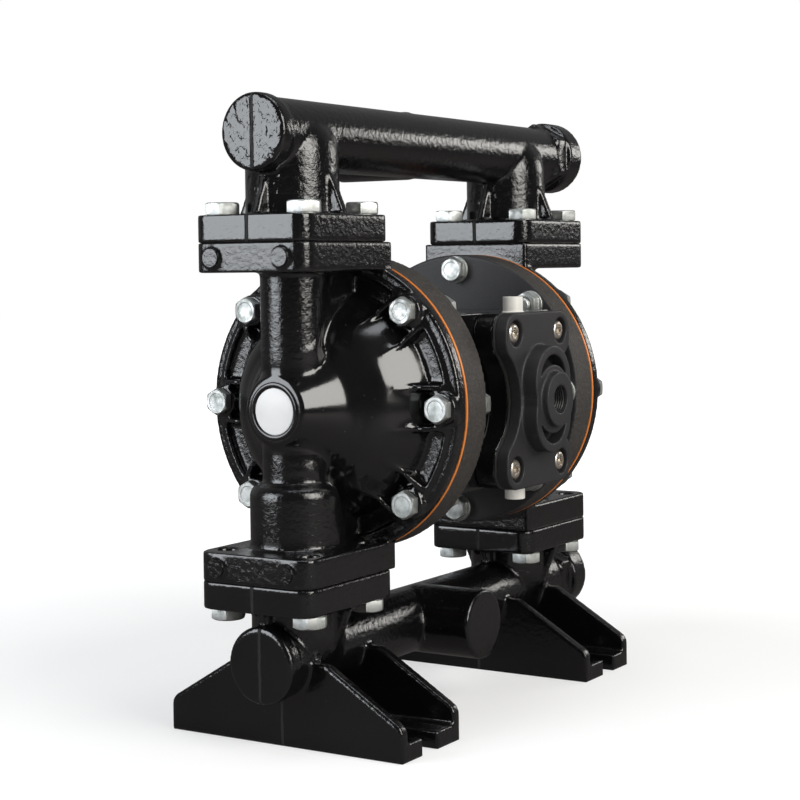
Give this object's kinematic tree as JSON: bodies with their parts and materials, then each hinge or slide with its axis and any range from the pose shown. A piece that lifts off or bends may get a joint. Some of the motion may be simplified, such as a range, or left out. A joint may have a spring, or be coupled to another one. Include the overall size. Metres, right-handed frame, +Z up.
{
  "type": "air-operated double diaphragm pump",
  "caption": "Air-operated double diaphragm pump with domed fluid caps, two manifolds with check valves, feet and a front air valve.",
  "frame": {"origin": "middle of the footprint's bounding box, on the ground under the feet", "axes": "+X towards the threaded fluid ports along the pump shaft, -Y towards the air inlet, +Z up"},
  "size_m": [0.321, 0.1736, 0.3317],
  "materials": {
    "cap_paint": "cast, gloss black paint",
    "air_cap_paint": "cast, satin dark grey paint",
    "body_paint": "cast, gloss black paint",
    "cover_paint": "cast, satin dark grey paint",
    "zinc": "bright zinc plate",
    "screw_metal": "yellow passivated zinc",
    "plate_metal": "machined",
    "rod_steel": "ground and polished",
    "bronze": "machined",
    "diaphragm": "matt orange elastomer",
    "seal": "matt",
    "ball": "smooth",
    "seat": "machined",
    "gasket": "matt grey sheet",
    "white": "white",
    "spool_metal": "anodised"
  },
  "bodies": {
    "pump": {"air_cap_gasket_left": "gasket", "air_cap_gasket_right": "gasket", "air_cap_left": "air_cap_paint", "air_cap_right": "air_cap_paint", "air_cap_screws": "zinc", "cap_bolts": "zinc", "cap_nuts": "zinc", "cap_washers": "zinc", "center_body": "body_paint", "diaphragm_left": "diaphragm", "diaphragm_right": "diaphragm", "fluid_cap_left": "cap_paint", "fluid_cap_right": "cap_paint", "inlet_manifold": "cap_paint", "inlet_manifold_bolts": "zinc", "inlet_seat_left": "seat", "inlet_seat_right": "seat", "inlet_seat_seal_left": "seal", "inlet_seat_seal_right": "seal", "label_disc": "white", "outlet_manifold": "cap_paint", "outlet_manifold_bolts": "zinc", "outlet_seat_left": "seat", "outlet_seat_right": "seat", "outlet_seat_seal_left": "seal", "outlet_seat_seal_right": "seal", "pilot_bushes": "bronze", "rim_screws": "zinc", "rod_bush_left": "bronze", "rod_bush_right": "bronze", "rod_seal_left": "seal", "rod_seal_right": "seal", "spool_plug_bottom": "white", "spool_plug_top": "white", "valve_block": "body_paint", "valve_block_gasket": "gasket", "valve_cover": "cover_paint", "valve_cover_gasket": "gasket", "valve_cover_screws": "screw_metal"},
    "rod": {"connecting_rod": "rod_steel", "air_plate_left": "plate_metal", "air_plate_right": "plate_metal", "fluid_plate_left": "plate_metal", "fluid_plate_right": "plate_metal", "rod_nut_left": "zinc", "rod_nut_right": "zinc"},
    "pilot": {"pilot_rod": "rod_steel"},
    "spool": {"valve_spool": "spool_metal", "spool_seals": "seal"},
    "inlet_ball_left": {"inlet_ball_left": "ball"},
    "inlet_ball_right": {"inlet_ball_right": "ball"},
    "outlet_ball_left": {"outlet_ball_left": "ball"},
    "outlet_ball_right": {"outlet_ball_right": "ball"}
  },
  "joints": [
    {"name": "rod_slide", "type": "slide", "parent": "pump", "child": "rod", "axis": [1, 0, 0], "range_m": [-0.009, 0.009], "deforming": ["diaphragm_left", "diaphragm_right"]},
    {"name": "pilot_shift", "type": "slide", "parent": "pump", "child": "pilot", "axis": [1, 0, 0], "range_m": [-0.004, 0.004]},
    {"name": "spool_shift", "type": "slide", "parent": "pump", "child": "spool", "axis": [0, 0, 1], "range_m": [0, 0.011]},
    {"name": "inlet_ball_lift_left", "type": "slide", "parent": "pump", "child": "inlet_ball_left", "axis": [0, 0, 1], "range_m": [0, 0.008]},
    {"name": "inlet_ball_lift_right", "type": "slide", "parent": "pump", "child": "inlet_ball_right", "axis": [0, 0, 1], "range_m": [0, 0.008]},
    {"name": "outlet_ball_lift_left", "type": "slide", "parent": "pump", "child": "outlet_ball_left", "axis": [0, 0, 1], "range_m": [0, 0.008]},
    {"name": "outlet_ball_lift_right", "type": "slide", "parent": "pump", "child": "outlet_ball_right", "axis": [0, 0, 1], "range_m": [0, 0.008]}
  ],
  "couplings": [
    {"joint": "pilot_shift", "follows": "rod_slide", "ratio": 0.44444}
  ]
}
